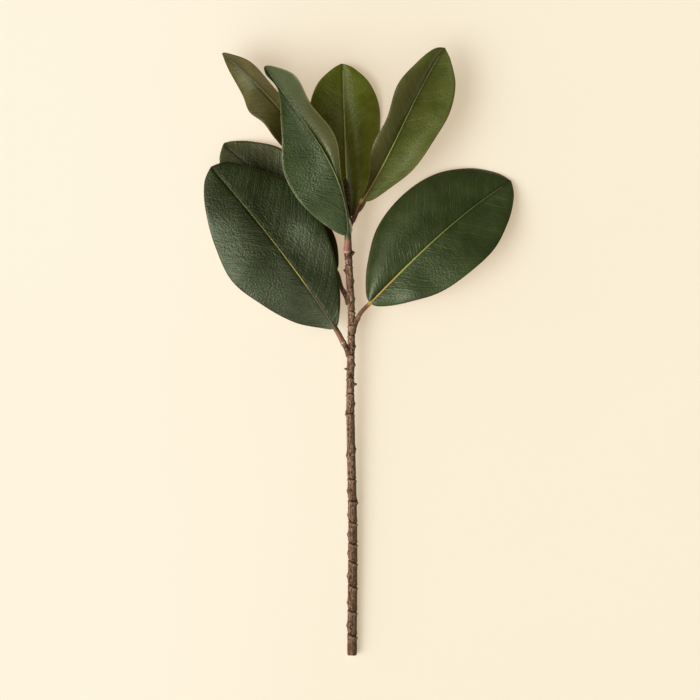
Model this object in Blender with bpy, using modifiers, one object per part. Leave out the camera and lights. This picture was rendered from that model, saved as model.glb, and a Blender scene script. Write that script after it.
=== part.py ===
"""A cut magnolia branch, lying on its side: one woody twig with seven leathery leaves, four small side buds and a
closed bud at its tip. The twig points along +Y, the surface that it lies on is Z = 0, and the origin is under the
middle of the whole branch. Sizes in the tables are in millimetres."""

import math

import bmesh
import bpy
from mathutils import Vector
from mathutils.geometry import interpolate_bezier

MM = 0.001
SEAT_GAP = 0.5  # between a leaf stalk and its spur, and between a bud and the bark

# The twig: middle line from the cut end to the tip, and the radius along it.
STEM_LINE = (
    (-6.4, -257.8, 4.3), (-5.8, -168, 6.6), (-6.2, -126, 8.0), (-7.5, -67, 10.3), (-7.8, -25, 12.0),
    (-6.8, 26, 14.0), (-8.4, 60, 16.0), (-9.8, 94, 18.5), (-10.3, 121, 20.8),
)
STEM_RADII = (4.1, 3.8, 3.65, 3.5, 3.25, 3.0, 3.05, 2.9, 2.5)
RING_PLACES = (17, 38, 60, 80, 97, 114, 134, 154, 179, 197, 214, 229, 241, 268, 282, 294, 312, 334, 351)
RING_HEIGHT = 0.4
RING_HALF_WIDTH = 1.1

# Spurs that carry the leaves: where each leaves the twig, and the flat end that the stalk stands on.
SPURS = {
    "leaf_lower_left": ((-8.3, -3, 13.2), (-13.6, 6.7, 15.6)),
    "leaf_lower_right": ((-7.0, 15, 13.6), (-0.9, 31.2, 15.5)),
    "leaf_left_back": ((-8.2, 40, 14.9), (-14.3, 51.4, 14.4)),
    "leaf_front": ((-9.7, 77, 17.2), (-10.6, 84, 23.2)),
    "leaf_upper_left": ((-10.1, 103, 19.2), (-15.2, 110.5, 20.0)),
    "leaf_centre_back": ((-10.0, 106, 19.6), (-9.0, 112.5, 15.2)),
    "leaf_upper_right": ((-9.9, 103, 19.3), (-5.3, 110.5, 22.0)),
}
SPUR_RADIUS = 2.1

# Buds: place of the base, direction, length and greatest radius.
TERMINAL_BUD = ((-10.32, 121.3, 20.85), (-0.055, 0.995, 0.06), 24.0, 2.9)
SIDE_BUDS = {
    "side_bud_upper_right": ((-5.2, 81.5, 17.6), (0.35, 0.93, 0.05), 4.2, 1.2),
    "side_bud_upper_left": ((-13.3, 68.0, 17.0), (-0.45, 0.88, 0.1), 4.0, 1.5),
    "side_bud_lower_left": ((-12.7, -17.0, 12.5), (-0.3, 0.95, 0.1), 4.0, 1.1),
    "side_bud_lower_right": ((-3.0, -31.0, 12.0), (0.45, 0.88, 0.1), 4.6, 1.3),
}

# A leaf: `midrib` holds the four control points of its curve from the blade's base to its tip. `left` and `right`
# are the widths of the two halves at seven stations, seen from above. `left_rise` and `right_rise` are the heights
# of the middle and the margin of each half over the midrib, near the base, at the middle and near the tip.
LEAVES = {
    "leaf_lower_left": dict(
        midrib=((-20.5, 19.3, 19), (-50, 65, 27), (-86, 111, 27), (-123.9, 152.8, 16)),
        left=(9.5, 26.5, 39.5, 48, 41, 28, 13.5), right=(8, 21, 34.5, 43.5, 42, 27, 14),
        left_rise=((0, -6), (1, -9), (4, -1)), right_rise=((-3, -2), (1, -3), (3, 1)),
        stalk_radius=1.9,
    ),
    "leaf_lower_right": dict(
        midrib=((8.8, 40.4, 16), (46, 78, 16), (83.5, 116, 9), (128.5, 144.2, 1.0)),
        left=(11, 26, 41, 46.5, 43, 29.5, 12.5), right=(10, 22.5, 35.5, 40, 38.5, 27.5, 13),
        left_rise=((1, -4), (1, -3), (1, 1)), right_rise=((1, -1), (0, 1), (2, 5)),
        stalk_radius=1.8,
    ),
    "leaf_left_back": dict(
        midrib=((-20, 68, 13), (-50, 110, 9), (-83, 152, 4), (-115.5, 176, 1.1)),
        left=(7, 17, 26, 32, 30, 23, 5), right=(7, 16, 21, 30, 30, 15, 5),
        left_rise=((0, -2), (0, -3), (0, -1)), right_rise=((0, -2), (0, -1), (1, 1)),
        stalk_radius=1.7,
    ),
    "leaf_front": dict(
        midrib=((-9.8, 96.1, 29), (-17, 150, 40), (-46, 193, 54), (-78.4, 233.2, 56)),
        left=(13, 31, 37, 35, 20, 3, -1), right=(1, 3, 8.5, 13.5, 14, 16.5, 5),
        left_rise=((0, -4), (0, -9), (6, 12)), right_rise=((8, 14), (16, 22), (7, 9)),
        stalk_radius=1.9,
    ),
    "leaf_upper_left": dict(
        midrib=((-17, 119, 20.5), (-35, 167, 24), (-72, 215, 24), (-115, 248.3, 24)),
        left=(4, 10, 15, 19, 20.5, 12, 4), right=(2, 4, 6, 7, 8, 8.5, 5),
        left_rise=((0, -2), (0, -3), (1, 0)), right_rise=((3, 5), (7, 11), (8, 11)),
        stalk_radius=1.6,
    ),
    "leaf_centre_back": dict(
        midrib=((-9.6, 121, 12), (-11, 157, 5), (-13.5, 205, 4), (-14, 242.9, 7)),
        left=(6, 16, 27, 31, 29.5, 22, 9.5), right=(6, 16, 26, 31, 30, 23, 10),
        left_rise=((3, 5), (3, 7), (1.5, 2)), right_rise=((3, 5), (3, 7), (1.5, 2)),
        stalk_radius=1.7,
    ),
    "leaf_upper_right": dict(
        midrib=((2.1, 126.5, 25), (23, 164, 28), (47, 208, 32), (70.5, 252.7, 32)),
        left=(2, 4.5, 11.5, 17, 17.5, 15, 7), right=(6.5, 15.5, 26, 31, 32.5, 23, 10),
        left_rise=((6, 10), (13, 18), (9, 12)), right_rise=((2, 5), (2, 6), (0, -1)),
        stalk_radius=2.1,
    ),
}
BLADE_THICKNESS = 0.7
BLADE_COLUMNS = 8
BLADE_ROWS = 14
TIP_HALF_WIDTH = 0.6
RIB_END = 0.93  # where along the blade the raised midrib fades out
RIB_TIP_RADIUS = 0.5


def material(name, colour, roughness):
    made = bpy.data.materials.new(name)
    made.use_nodes = True
    shader = made.node_tree.nodes["Principled BSDF"]
    shader.inputs["Base Color"].default_value = (*colour, 1)
    shader.inputs["Roughness"].default_value = roughness
    made.diffuse_color = (*colour, 1)
    return made


def clear_scene():
    for thing in list(bpy.data.objects):
        bpy.data.objects.remove(thing)


def smooth_value(values, place):
    """A value at `place` from 0 to 1 on a smooth line through evenly spaced values."""
    spans = len(values) - 1
    first = min(int(place * spans), spans - 1)
    part = place * spans - first
    before = values[first - 1] if first else 2 * values[0] - values[1]
    after = values[first + 2] if first + 2 <= spans else 2 * values[-1] - values[-2]
    start, end = values[first], values[first + 1]
    return 0.5 * (
        2 * start
        + (end - before) * part
        + (2 * before - 5 * start + 4 * end - after) * part**2
        + (3 * start - before - 3 * end + after) * part**3
    )


def tube(name, points, radii, sides_resolution=2):
    """A closed tube through the points, as a mesh object, each point with its own radius. All in millimetres."""
    data = bpy.data.curves.new(name, "CURVE")
    data.dimensions = "3D"
    data.bevel_depth = MM
    data.bevel_resolution = sides_resolution
    data.use_fill_caps = True
    spline = data.splines.new("POLY")
    spline.points.add(len(points) - 1)
    for knot, place, radius in zip(spline.points, points, radii):
        knot.co = (*(Vector(place) * MM), 1)
        knot.radius = radius
    guide = bpy.data.objects.new(name + "_guide", data)
    bpy.context.scene.collection.objects.link(guide)
    bpy.context.view_layer.update()
    mesh = bpy.data.meshes.new_from_object(guide.evaluated_get(bpy.context.evaluated_depsgraph_get()))
    mesh.name = name
    weld = bmesh.new()
    weld.from_mesh(mesh)
    bmesh.ops.remove_doubles(weld, verts=weld.verts, dist=1e-6)
    bmesh.ops.recalc_face_normals(weld, faces=weld.faces)
    weld.to_mesh(mesh)
    weld.free()
    bpy.data.objects.remove(guide)
    return bpy.data.objects.new(name, mesh)


def join(body, added, solver="EXACT"):
    """Unites `added` with `body`; the added shape stays as a hidden helper."""
    helpers.objects.link(added)
    added.hide_render = True
    added.display_type = "WIRE"
    union = body.modifiers.new("join_" + added.name, "BOOLEAN")
    union.operation = "UNION"
    union.object = added
    union.solver = solver


# --- the twig ---


def stem_point(along):
    """Middle of the twig at a share of its length, measured at the points of its middle line."""
    return Vector([smooth_value([place[axis] for place in STEM_LINE], along) for axis in range(3)])


def stem_length_table(steps=200):
    places = [stem_point(step / steps) for step in range(steps + 1)]
    lengths = [0.0]
    for start, end in zip(places, places[1:]):
        lengths.append(lengths[-1] + (end - start).length)
    return lengths


def stem_share(length, table):
    """The share of the middle line at this length from the cut end."""
    steps = len(table) - 1
    for step in range(steps):
        if table[step + 1] >= length:
            inside = (length - table[step]) / (table[step + 1] - table[step])
            return (step + inside) / steps
    return 1.0


def make_stem():
    table = stem_length_table()
    places = [0.0, 6.0, table[-1]]
    for ring in RING_PLACES:
        places += [ring - RING_HALF_WIDTH, ring, ring + RING_HALF_WIDTH]
    points, radii = [], []
    for place in sorted(places):
        share = stem_share(place, table)
        points.append(stem_point(share))
        radius = smooth_value(STEM_RADII, share)
        radii.append(radius + (RING_HEIGHT if place in RING_PLACES else 0.0))
    stem = tube("stem", points, radii, sides_resolution=4)
    branch.objects.link(stem)
    for name, (root, end) in SPURS.items():
        middle = Vector(root).lerp(Vector(end), 0.5)
        radii = (SPUR_RADIUS * 0.95, SPUR_RADIUS, SPUR_RADIUS * 0.95)
        join(stem, tube("spur_of_" + name, (Vector(root), middle, Vector(end)), radii))
    stem.data.materials.append(bark)
    return stem


# --- the buds ---


def make_bud(name, base, direction, length, radius, finish):
    """A turned, pointed egg with a flat base, standing on its base point and leaning along its direction."""
    profile = ((0, 0), (0.55, 0), (0.85, 0.12), (1.0, 0.34), (0.92, 0.56), (0.62, 0.8), (0.25, 0.95), (0, 1))
    data = bpy.data.meshes.new(name)
    shape = bmesh.new()
    rim = [shape.verts.new((share * radius * MM, 0, height * length * MM)) for share, height in profile]
    for start, end in zip(rim, rim[1:]):
        shape.edges.new((start, end))
    bmesh.ops.spin(
        shape, geom=shape.verts[:] + shape.edges[:], axis=(0, 0, 1), cent=(0, 0, 0), angle=2 * math.pi, steps=12
    )
    bmesh.ops.remove_doubles(shape, verts=shape.verts, dist=1e-6)
    bmesh.ops.recalc_face_normals(shape, faces=shape.faces)
    shape.to_mesh(data)
    shape.free()
    data.shade_smooth()
    data.materials.append(finish)
    bud = bpy.data.objects.new(name, data)
    bud.rotation_mode = "QUATERNION"
    bud.rotation_quaternion = Vector(direction).to_track_quat("Z", "Y")
    bud.location = Vector(base) * MM
    branch.objects.link(bud)


# --- the leaves ---


def station_value(values, place, sharp_tip):
    """A width or height that is zero at both ends of the blade and passes through the stations between them."""
    ends = (0.0,) + tuple(values) + (0.0,)
    spans = len(ends) - 1
    first = min(int(place * spans), spans - 1)
    part = place * spans - first
    before = ends[first - 1] if first else -ends[1]
    after = ends[first + 2] if first + 2 <= spans else (ends[-2] if sharp_tip else -ends[-2])
    start, end = ends[first], ends[first + 1]
    return 0.5 * (
        2 * start
        + (end - before) * part
        + (2 * before - 5 * start + 4 * end - after) * part**2
        + (3 * start - before - 3 * end + after) * part**3
    )


def midrib_point(leaf, share):
    a, b, c, d = (Vector(point) for point in leaf["midrib"])
    left = 1 - share
    return a * left**3 + b * 3 * left**2 * share + c * 3 * left * share**2 + d * share**3


def midrib_side(leaf, share):
    """Level direction to the left of the midrib, seen from above with the tip ahead."""
    step = 0.01
    ahead = midrib_point(leaf, min(share + step, 1)) - midrib_point(leaf, max(share - step, 0))
    return Vector((-ahead.y, ahead.x, 0)).normalized()


def blade_point(leaf, across, place):
    """Point of the blade's upper face: `across` runs from 1 at the left margin to -1 at the right one."""
    share = (1 - math.cos(math.pi * place)) / 2
    half = "left" if across > 0 else "right"
    out = abs(across)
    width = station_value(leaf[half], place, sharp_tip=True)
    middle = station_value([rise[0] for rise in leaf[half + "_rise"]], place, sharp_tip=False)
    margin = station_value([rise[1] for rise in leaf[half + "_rise"]], place, sharp_tip=False)
    height = (4 * middle - margin) * out + (2 * margin - 4 * middle) * out**2
    side = midrib_side(leaf, share) * (1 if across > 0 else -1)
    end_width = TIP_HALF_WIDTH * out * abs(math.cos(math.pi * place)) ** 8
    return midrib_point(leaf, share) + side * (width * out + end_width) + Vector((0, 0, height))


def make_leaf(name, leaf, spur):
    bpy.ops.mesh.primitive_grid_add(x_subdivisions=BLADE_COLUMNS, y_subdivisions=BLADE_ROWS, size=2)
    blade = bpy.context.object
    blade.name = name
    blade.data.name = name
    for corner in blade.data.vertices:
        across, place = -corner.co.x, (corner.co.y + 1) / 2
        corner.co = blade_point(leaf, across, place) * MM
    for collection in list(blade.users_collection):
        collection.objects.unlink(blade)
    branch.objects.link(blade)
    blade.data.shade_smooth()
    blade.data.materials.append(leaf_green)
    thicken = blade.modifiers.new("thicken", "SOLIDIFY")
    thicken.thickness = BLADE_THICKNESS * MM
    thicken.offset = -1

    # The stalk runs from the spur to the blade and on under the blade as its midrib.
    root, seat = (Vector(point) for point in spur)
    outward = (seat - root).normalized()
    start = seat + outward * SEAT_GAP
    base = midrib_point(leaf, 0)
    reach = (base - start).length / 3
    ahead = (midrib_point(leaf, 0.03) - base).normalized()
    stalk = interpolate_bezier(start, start + outward * reach, base - ahead * reach, base, 6)
    sink = Vector((0, 0, BLADE_THICKNESS * 0.9))
    ribs = [midrib_point(leaf, RIB_END * (step + 1) / 12) for step in range(12)]
    points = [point - sink * (index / 5) for index, point in enumerate(stalk)] + [point - sink for point in ribs]
    thick = leaf["stalk_radius"]
    radii = [thick, thick * 0.93, thick * 0.86, thick * 0.82, thick * 0.8, thick * 0.78]
    radii += [
        thick * 0.74 + (RIB_TIP_RADIUS - thick * 0.74) * (step / 11) ** 0.7 for step in range(12)
    ]
    # The exact solver loses the lower right leaf's union, and this one needs only closed shapes, which these are.
    join(blade, tube("rib_of_" + name, points, radii), solver="MANIFOLD")


clear_scene()
branch = bpy.data.collections.new("magnolia_branch")
helpers = bpy.data.collections.new("helpers")
bpy.context.scene.collection.children.link(branch)
bpy.context.scene.collection.children.link(helpers)
bark = material("bark", (0.16, 0.1, 0.065), 0.8)
bud_scale = material("bud_scale", (0.02, 0.011, 0.006), 0.6)
leaf_green = material("leaf_green", (0.05, 0.075, 0.022), 0.4)

make_stem()
make_bud("terminal_bud", *TERMINAL_BUD, bud_scale)
for bud_name, bud in SIDE_BUDS.items():
    make_bud(bud_name, *bud, bark)
for leaf_name, leaf in LEAVES.items():
    make_leaf(leaf_name, leaf, SPURS[leaf_name])
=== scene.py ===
"""The looks of a cut magnolia branch: a woody twig, a closed bud at its tip, four small side buds and seven
leathery leaves. It lies on the surface z = 0 with the twig along +Y. Sizes in tables are in millimetres."""

import math

import bpy
import numpy as np
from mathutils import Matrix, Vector


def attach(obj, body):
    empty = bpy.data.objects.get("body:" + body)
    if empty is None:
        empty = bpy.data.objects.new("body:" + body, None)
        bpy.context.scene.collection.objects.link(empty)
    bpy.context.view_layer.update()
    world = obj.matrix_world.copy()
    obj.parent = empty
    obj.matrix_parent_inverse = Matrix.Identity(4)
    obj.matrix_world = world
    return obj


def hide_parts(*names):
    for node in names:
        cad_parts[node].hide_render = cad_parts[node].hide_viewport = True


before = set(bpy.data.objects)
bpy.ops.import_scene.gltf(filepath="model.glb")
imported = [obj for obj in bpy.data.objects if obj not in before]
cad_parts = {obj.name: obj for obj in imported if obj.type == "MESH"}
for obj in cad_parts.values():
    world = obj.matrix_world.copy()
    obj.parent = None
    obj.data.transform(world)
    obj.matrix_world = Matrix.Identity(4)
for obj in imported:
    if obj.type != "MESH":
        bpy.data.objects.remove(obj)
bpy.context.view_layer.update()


# --- the twig ---
# A woody shoot, cut square at its lower end, with a short spur for each leaf. Its thin brown bark is wrinkled
# along its length, dotted with pale pores, and crossed by dark rings where old leaves and bud scales fell.

MM = 0.001
STEM_LINE = (
    (-6.4, -257.8, 4.3), (-5.8, -168, 6.6), (-6.2, -126, 8.0), (-7.5, -67, 10.3), (-7.8, -25, 12.0),
    (-6.8, 26, 14.0), (-8.4, 60, 16.0), (-9.8, 94, 18.5), (-10.3, 121, 20.8),
)
STEM_RADII = (4.1, 3.8, 3.65, 3.5, 3.25, 3.0, 3.05, 2.9, 2.5)
ROD_RINGS = 102  # rings of vertices along any rod
BARK_GRAIN = 0.35  # edge of one face of the bark

# Each ring scar: distance from the cut end, how far it climbs on the left, half its width, and the side where
# its lip stands out (degrees round the twig, 0 at the right and 90 on top).
RING_SCARS = (
    (16.6, 2.6, 0.85, 10), (37.1, 2.2, 0.7, 20), (58.3, 2.6, 0.8, 0), (78.6, 2.8, 0.7, 20),
    (94.7, 1.6, 0.75, 350), (112.5, 1.8, 0.6, 20), (130.9, 1.2, 0.7, 0), (149.6, 1.0, 0.6, 30),
    (205.0, 0.6, 0.5, 170), (222.4, -0.5, 0.45, 150), (235.8, -0.4, 0.45, 170), (254.8, 0.3, 0.45, 180),
    (271.3, 0.5, 0.5, 180), (279.7, 0.3, 0.4, 170), (291.5, 0.6, 0.5, 30), (330.1, 0.8, 0.4, 190),
    (341.0, -0.5, 0.5, 0),
)
LIP_HEIGHT, UPPER_LIP_HEIGHT, GROOVE_DEPTH = 0.62, 0.3, 0.42
# Each old leaf base: distance from the cut end, degrees round the twig, height and half length.
KNOBS = (
    (25.4, 172, 1.25, 2.3), (45.0, 175, 1.0, 2.2), (67.4, 172, 1.25, 2.5), (86.8, 170, 1.1, 2.1),
    (102.6, 175, 1.2, 2.1), (119.2, 180, 1.1, 2.2), (130.3, 0, 1.2, 2.4), (139.7, 175, 1.1, 2.3),
    (169.7, 175, 1.0, 2.6), (174.8, 5, 0.9, 2.4), (205.5, 180, 1.1, 2.0), (213.6, 0, 1.0, 2.0),
    (246.3, 0, 1.1, 2.0), (262.0, 0, 1.0, 2.0), (310.0, 75, 0.9, 1.9), (317.0, 0, 1.0, 2.2),
    (302.0, 5, 0.8, 2.0), (340.3, 0, 1.3, 1.5), (340.3, 180, 1.1, 1.5), (325.6, 180, 1.4, 2.1),
)
KNOB_HALF_WIDTH = 1.9
CREASE_DEPTH, UNDERCUT_DEPTH = 0.34, 0.15  # above and below each old leaf base
WRINKLE_DEPTH = 0.17
YOUNG_WOOD = 352  # distance from the cut end at which the newest, ringed wood starts
YOUNG_RING_HEIGHT, YOUNG_RING_PITCH = 0.16, 2.3
CHIP_DEPTH = 0.55  # how deep the cut edge is chipped
SPURS = {
    "lower_left": ((-8.3, -3, 13.2), (-13.6, 6.7, 15.6)),
    "lower_right": ((-7.0, 15, 13.6), (-1.1, 28.6, 15.5)),
    "left_back": ((-8.2, 40, 14.9), (-14.3, 51.4, 14.4)),
    "front": ((-9.7, 77, 17.2), (-10.6, 84, 23.2)),
    "upper_left": ((-10.1, 103, 19.2), (-15.2, 110.5, 20.0)),
    "centre_back": ((-10.0, 106, 19.6), (-9.0, 112.5, 15.2)),
    "upper_right": ((-9.9, 103, 19.3), (-5.3, 110.5, 22.0)),
}
SPUR_SIZES = {"front": (2.75, 0.1), "lower_left": (2.35, 0.5)}  # radius, and how far its root spreads
SPUR_SIZE = (2.1, 0.75)
SPUR_RINGS = ((0.1, 0.35), (3.6, 0.4), (6.6, 0.4))  # distance from the spur's end, and half width
SPUR_RING_DEPTH = 0.18
SPUR_LIP = 1.0  # distance of its lip from the spur's end


def smooth(values, places, before=None, after=None):
    """Values at places from 0 to 1 on a smooth line through evenly spaced ones."""
    values = np.asarray(values, float)
    places = np.asarray(places, float)
    spans = len(values) - 1
    before = 2 * values[0] - values[1] if before is None else before
    after = 2 * values[-1] - values[-2] if after is None else after
    ends = np.concatenate([[before], values, [after]])
    first = np.clip((places * spans).astype(int), 0, spans - 1)
    part = places * spans - first
    part = part[:, None] if values.ndim > 1 else part
    a, b, c, d = (ends[first + step] for step in range(4))
    curve = 2 * b + (c - a) * part + (2 * a - 5 * b + 4 * c - d) * part**2
    return 0.5 * (curve + (3 * b - a - 3 * c + d) * part**3)


def points_of(piece):
    flat = np.empty(len(piece.data.vertices) * 3)
    piece.data.vertices.foreach_get("co", flat)
    return flat.reshape(-1, 3)


def set_points(piece, points):
    piece.data.vertices.foreach_set("co", np.asarray(points, float).ravel())
    piece.data.update()


def set_mark(piece, name, values):
    """Stores a number, or three, for each vertex, for the material to read."""
    values = np.asarray(values, float)
    kind, slot = ("FLOAT_VECTOR", "vector") if values.ndim > 1 else ("FLOAT", "value")
    piece.data.attributes.new(name, kind, "POINT").data.foreach_set(slot, values.ravel())


def make_rod(name, line, half_widths, tops, bottoms, sides=24):
    """A closed rod along ROD_RINGS points, with its half width and its heights above and below at each."""
    bpy.ops.object.select_all(action="DESELECT")
    bpy.ops.mesh.primitive_cylinder_add(vertices=sides, radius=1, depth=1, end_fill_type="TRIFAN")
    rod = bpy.context.object
    rod.name = rod.data.name = name
    bpy.ops.object.mode_set(mode="EDIT")
    bpy.ops.mesh.select_mode(type="EDGE")
    bpy.ops.mesh.select_all(action="DESELECT")
    bpy.ops.object.mode_set(mode="OBJECT")
    for edge in rod.data.edges:
        start, end = (rod.data.vertices[index].co for index in edge.vertices)
        edge.select = abs(end.z - start.z) > 0.5
    bpy.ops.object.mode_set(mode="EDIT")
    bpy.ops.mesh.subdivide(number_cuts=ROD_RINGS - 2)
    bpy.ops.object.mode_set(mode="OBJECT")
    straight = points_of(rod)
    ring = np.rint((straight[:, 2] + 0.5) * (ROD_RINGS - 1)).astype(int)
    ahead = np.gradient(line, axis=0)
    side = np.stack([-ahead[:, 1], ahead[:, 0], 0 * ahead[:, 0]], axis=1)
    side /= np.linalg.norm(side, axis=1)[:, None]
    up = np.cross(ahead / np.linalg.norm(ahead, axis=1)[:, None], side)
    heights = np.where(straight[:, 1] > 0, np.asarray(tops)[ring], np.asarray(bottoms)[ring])
    out = side[ring] * (straight[:, 0] * np.asarray(half_widths)[ring])[:, None]
    out += up[ring] * (straight[:, 1] * heights)[:, None]
    set_points(rod, (line[ring] + out) * MM)
    bpy.ops.object.shade_smooth()
    return rod


def make_twig():
    """The twig and its spurs, joined and skinned over as one closed surface."""
    share = np.linspace(0, 1, ROD_RINGS)
    radii = smooth(STEM_RADII, share)
    twig = make_rod("twig", smooth(STEM_LINE, share), radii, radii, radii, sides=48)
    spurs = []
    for name, (root, end) in SPURS.items():
        line = np.linspace(root, end, ROD_RINGS)
        size, spread = SPUR_SIZES.get(name, SPUR_SIZE)
        root_spread, lip = np.exp(-((share / 0.34) ** 2)), np.exp(-(((share - 0.93) / 0.1) ** 2))
        flare = size * (0.96 + spread * root_spread + 0.1 * lip)
        spurs.append(make_rod("spur_" + name, line, flare, flare, flare))
    for piece in spurs + [twig]:
        piece.select_set(True)
    bpy.context.view_layer.objects.active = twig
    bpy.ops.object.join()
    twig.data.remesh_voxel_size = BARK_GRAIN * MM
    bpy.ops.object.voxel_remesh()
    bpy.ops.object.shade_smooth()
    return twig


def wrinkles(turn, along, seed, depth):
    """Ridges that run along a shoot and wander a little round it."""
    draw = np.random.default_rng(seed)
    height = np.zeros_like(turn)
    for ridges in (5, 8, 13, 21, 29):
        wander, phase, slow = draw.uniform(0, 2 * math.pi, 3)
        lean = 1.6 * np.sin(along / 21 + wander) + 0.9 * np.sin(along / 8.3 + slow)
        height += np.sin(ridges * turn + lean + phase) * (0.6 + 0.4 * np.sin(along / 13 + wander + slow))
    return depth * height / 2.2


def shape_bark(twig):
    """Raises the rings, knobs and wrinkles of the bark, and marks its scars, lips, spurs and cut end."""
    points = points_of(twig) / MM
    normals = np.empty(len(points) * 3)
    twig.data.vertices.foreach_get("normal", normals)
    normals = normals.reshape(-1, 3)
    line = smooth(STEM_LINE, np.linspace(0, 1, 400))
    lengths = np.concatenate([[0], np.cumsum(np.linalg.norm(np.diff(line, axis=0), axis=1))])
    centre = np.stack([np.interp(points[:, 1], line[:, 1], line[:, axis]) for axis in range(3)], axis=1)
    along = np.interp(points[:, 1], line[:, 1], lengths)
    off = points - centre
    turn = np.arctan2(off[:, 2], off[:, 0])
    distance = np.hypot(off[:, 0], off[:, 2])
    radius = smooth(STEM_RADII, np.interp(points[:, 1], line[:, 1], np.linspace(0, 1, 400)))

    # Whether a vertex stands on a spur, and how far it is from that spur's end.
    on_spur = np.zeros(len(points))
    spur_run = np.zeros(len(points))
    spur_grain = np.zeros((len(points), 3))
    nearest = np.full(len(points), 1e9)
    for name, (root, end) in SPURS.items():
        root, end = np.array(root), np.array(end)
        length = np.linalg.norm(end - root)
        axis = (end - root) / length
        run = (points - root) @ axis
        aside = points - root - run[:, None] * axis
        gap = np.linalg.norm(aside, axis=1)
        reach = SPUR_SIZES.get(name, SPUR_SIZE)[0] * 1.9
        inside = (gap < reach) & (run > 0) & (run < length + 1) & (gap < nearest)
        nearest = np.where(inside, gap, nearest)
        spur_run = np.where(inside, length - run, spur_run)
        spur_grain = np.where(inside[:, None], aside + run[:, None] * np.array([0, 1.0, 0]), spur_grain)
        on_spur = np.where(inside, np.clip((distance - radius - 0.5) / 1.2, 0, 1), on_spur)
    on_twig = 1 - on_spur

    lift = np.zeros(len(points))
    scar = np.zeros(len(points))
    lip = np.zeros(len(points))
    for place, climb, half_width, side in RING_SCARS:
        facing = np.cos(turn - math.radians(side))
        wobble = 0.2 * np.sin(3 * turn + place) + 0.14 * np.sin(7 * turn + 2 * place)
        gap = along - place - climb * (0.5 - 0.5 * np.cos(turn)) ** 2 - wobble
        groove = np.exp(-((gap / half_width) ** 4)) * on_twig
        ridge = np.exp(-(((gap + 1.2 + half_width) / 1.0) ** 2)) * (0.65 + 0.35 * facing) * on_twig
        upper = np.exp(-(((gap - 0.9 - half_width) / 0.8) ** 2)) * (0.5 + 0.5 * facing) * on_twig
        lift += LIP_HEIGHT * ridge + UPPER_LIP_HEIGHT * upper - GROOVE_DEPTH * groove
        scar = np.maximum(scar, groove)
        lip = np.maximum(lip, ridge)
    for place, side, height, half_length in KNOBS:
        around = np.angle(np.exp(1j * (turn - math.radians(side)))) * radius
        gap = along - place
        bump = np.exp(-((gap / half_length) ** 2 + (around / KNOB_HALF_WIDTH) ** 2))
        crease = np.exp(-(((gap - half_length * 0.75 + 0.35 * around) / 0.42) ** 2 + (around / 2.8) ** 2))
        under = np.exp(-(((gap + half_length * 0.8 + 0.3 * around) / 0.35) ** 2 + (around / 2.2) ** 2))
        lift += (height * bump - CREASE_DEPTH * crease - UNDERCUT_DEPTH * under) * on_twig
        scar = np.maximum(scar, np.maximum(0.9 * crease, 0.55 * under) * on_twig)
        lip = np.maximum(lip, 0.8 * bump**3 * on_twig)
    old = np.clip(1.3 - along / 380, 0.4, 1)  # the wrinkles are shallower on younger wood
    lift += wrinkles(turn, along, 3, WRINKLE_DEPTH) * on_twig * old
    flakes = np.sin(along / 0.9 + 2 * np.sin(3 * turn + along / 7)) * np.sin(5 * turn + along / 3)
    lift += 0.07 * flakes * on_twig
    for place, half_width in SPUR_RINGS:
        ring = np.exp(-(((spur_run - place) / half_width) ** 2)) * on_spur
        lift -= SPUR_RING_DEPTH * ring
        scar = np.maximum(scar, 0.8 * ring)
    lip = np.maximum(lip, 0.9 * np.exp(-(((spur_run - SPUR_LIP) / 0.5) ** 2)) * on_spur)
    lift += 0.12 * np.exp(-(((spur_run - SPUR_LIP) / 0.6) ** 2)) * on_spur
    young = np.clip((along - YOUNG_WOOD) / 8, 0, 1) * on_twig
    rings = np.sin(2 * math.pi * along / YOUNG_RING_PITCH + 0.8 * np.sin(turn))
    lift += young * YOUNG_RING_HEIGHT * rings
    scar = np.maximum(scar, young * 0.6)
    cut = (along < 0.25) & (distance < radius + 0.6)
    chipped = np.clip(1 - along / 2.2, 0, 1) * np.clip(0.4 + np.sin(5 * turn + 0.6) * np.sin(9 * turn), 0, 1)
    lift = np.where(cut, 0, lift * np.clip(along / 0.8, 0, 1))
    lift -= CHIP_DEPTH * chipped * np.clip(distance / radius, 0, 1) ** 4
    lip = np.maximum(lip, 0.9 * chipped)
    scar = np.maximum(scar, np.clip(1 - along / 3.4, 0, 1) * np.exp(-(((turn - 1.2) / 0.24) ** 2)))
    set_points(twig, (points + normals * lift[:, None]) * MM)
    set_mark(twig, "scar", np.clip(scar, 0, 1))
    set_mark(twig, "lip", np.clip(lip, 0, 1))
    set_mark(twig, "cut", cut.astype(float))
    grain = np.stack([np.cos(turn) * radius, along, np.sin(turn) * radius], axis=1)
    set_mark(twig, "grain", (grain * on_twig[:, None] + spur_grain * on_spur[:, None]) * MM)


def add_node(tree, kind, inputs=(), **settings):
    """Adds a shader node. Each input is a plain value or the output of another node."""
    node = tree.nodes.new("ShaderNode" + kind)
    for key, value in settings.items():
        setattr(node, key, value)
    for key, value in dict(inputs).items():
        if isinstance(value, bpy.types.NodeSocket):
            tree.links.new(value, node.inputs[key])
        else:
            node.inputs[key].default_value = value
    return node


def maths(tree, operation, first, second=0.0, third=0.0):
    return add_node(tree, "Math", {0: first, 1: second, 2: third}, operation=operation).outputs[0]


def fade(tree, value, start, end, low=0.0, high=1.0):
    """Goes smoothly from low to high as the value goes from start to end."""
    inputs = {"Value": value, "From Min": start, "From Max": end, "To Min": low, "To Max": high}
    return add_node(tree, "MapRange", inputs, interpolation_type="SMOOTHSTEP").outputs[0]


def tinted(tree, share, first, second):
    """A colour between two colours."""
    first, second = (c if isinstance(c, bpy.types.NodeSocket) else (*c, 1) for c in (first, second))
    return add_node(tree, "Mix", {0: share, 6: first, 7: second}, data_type="RGBA").outputs[2]


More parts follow.
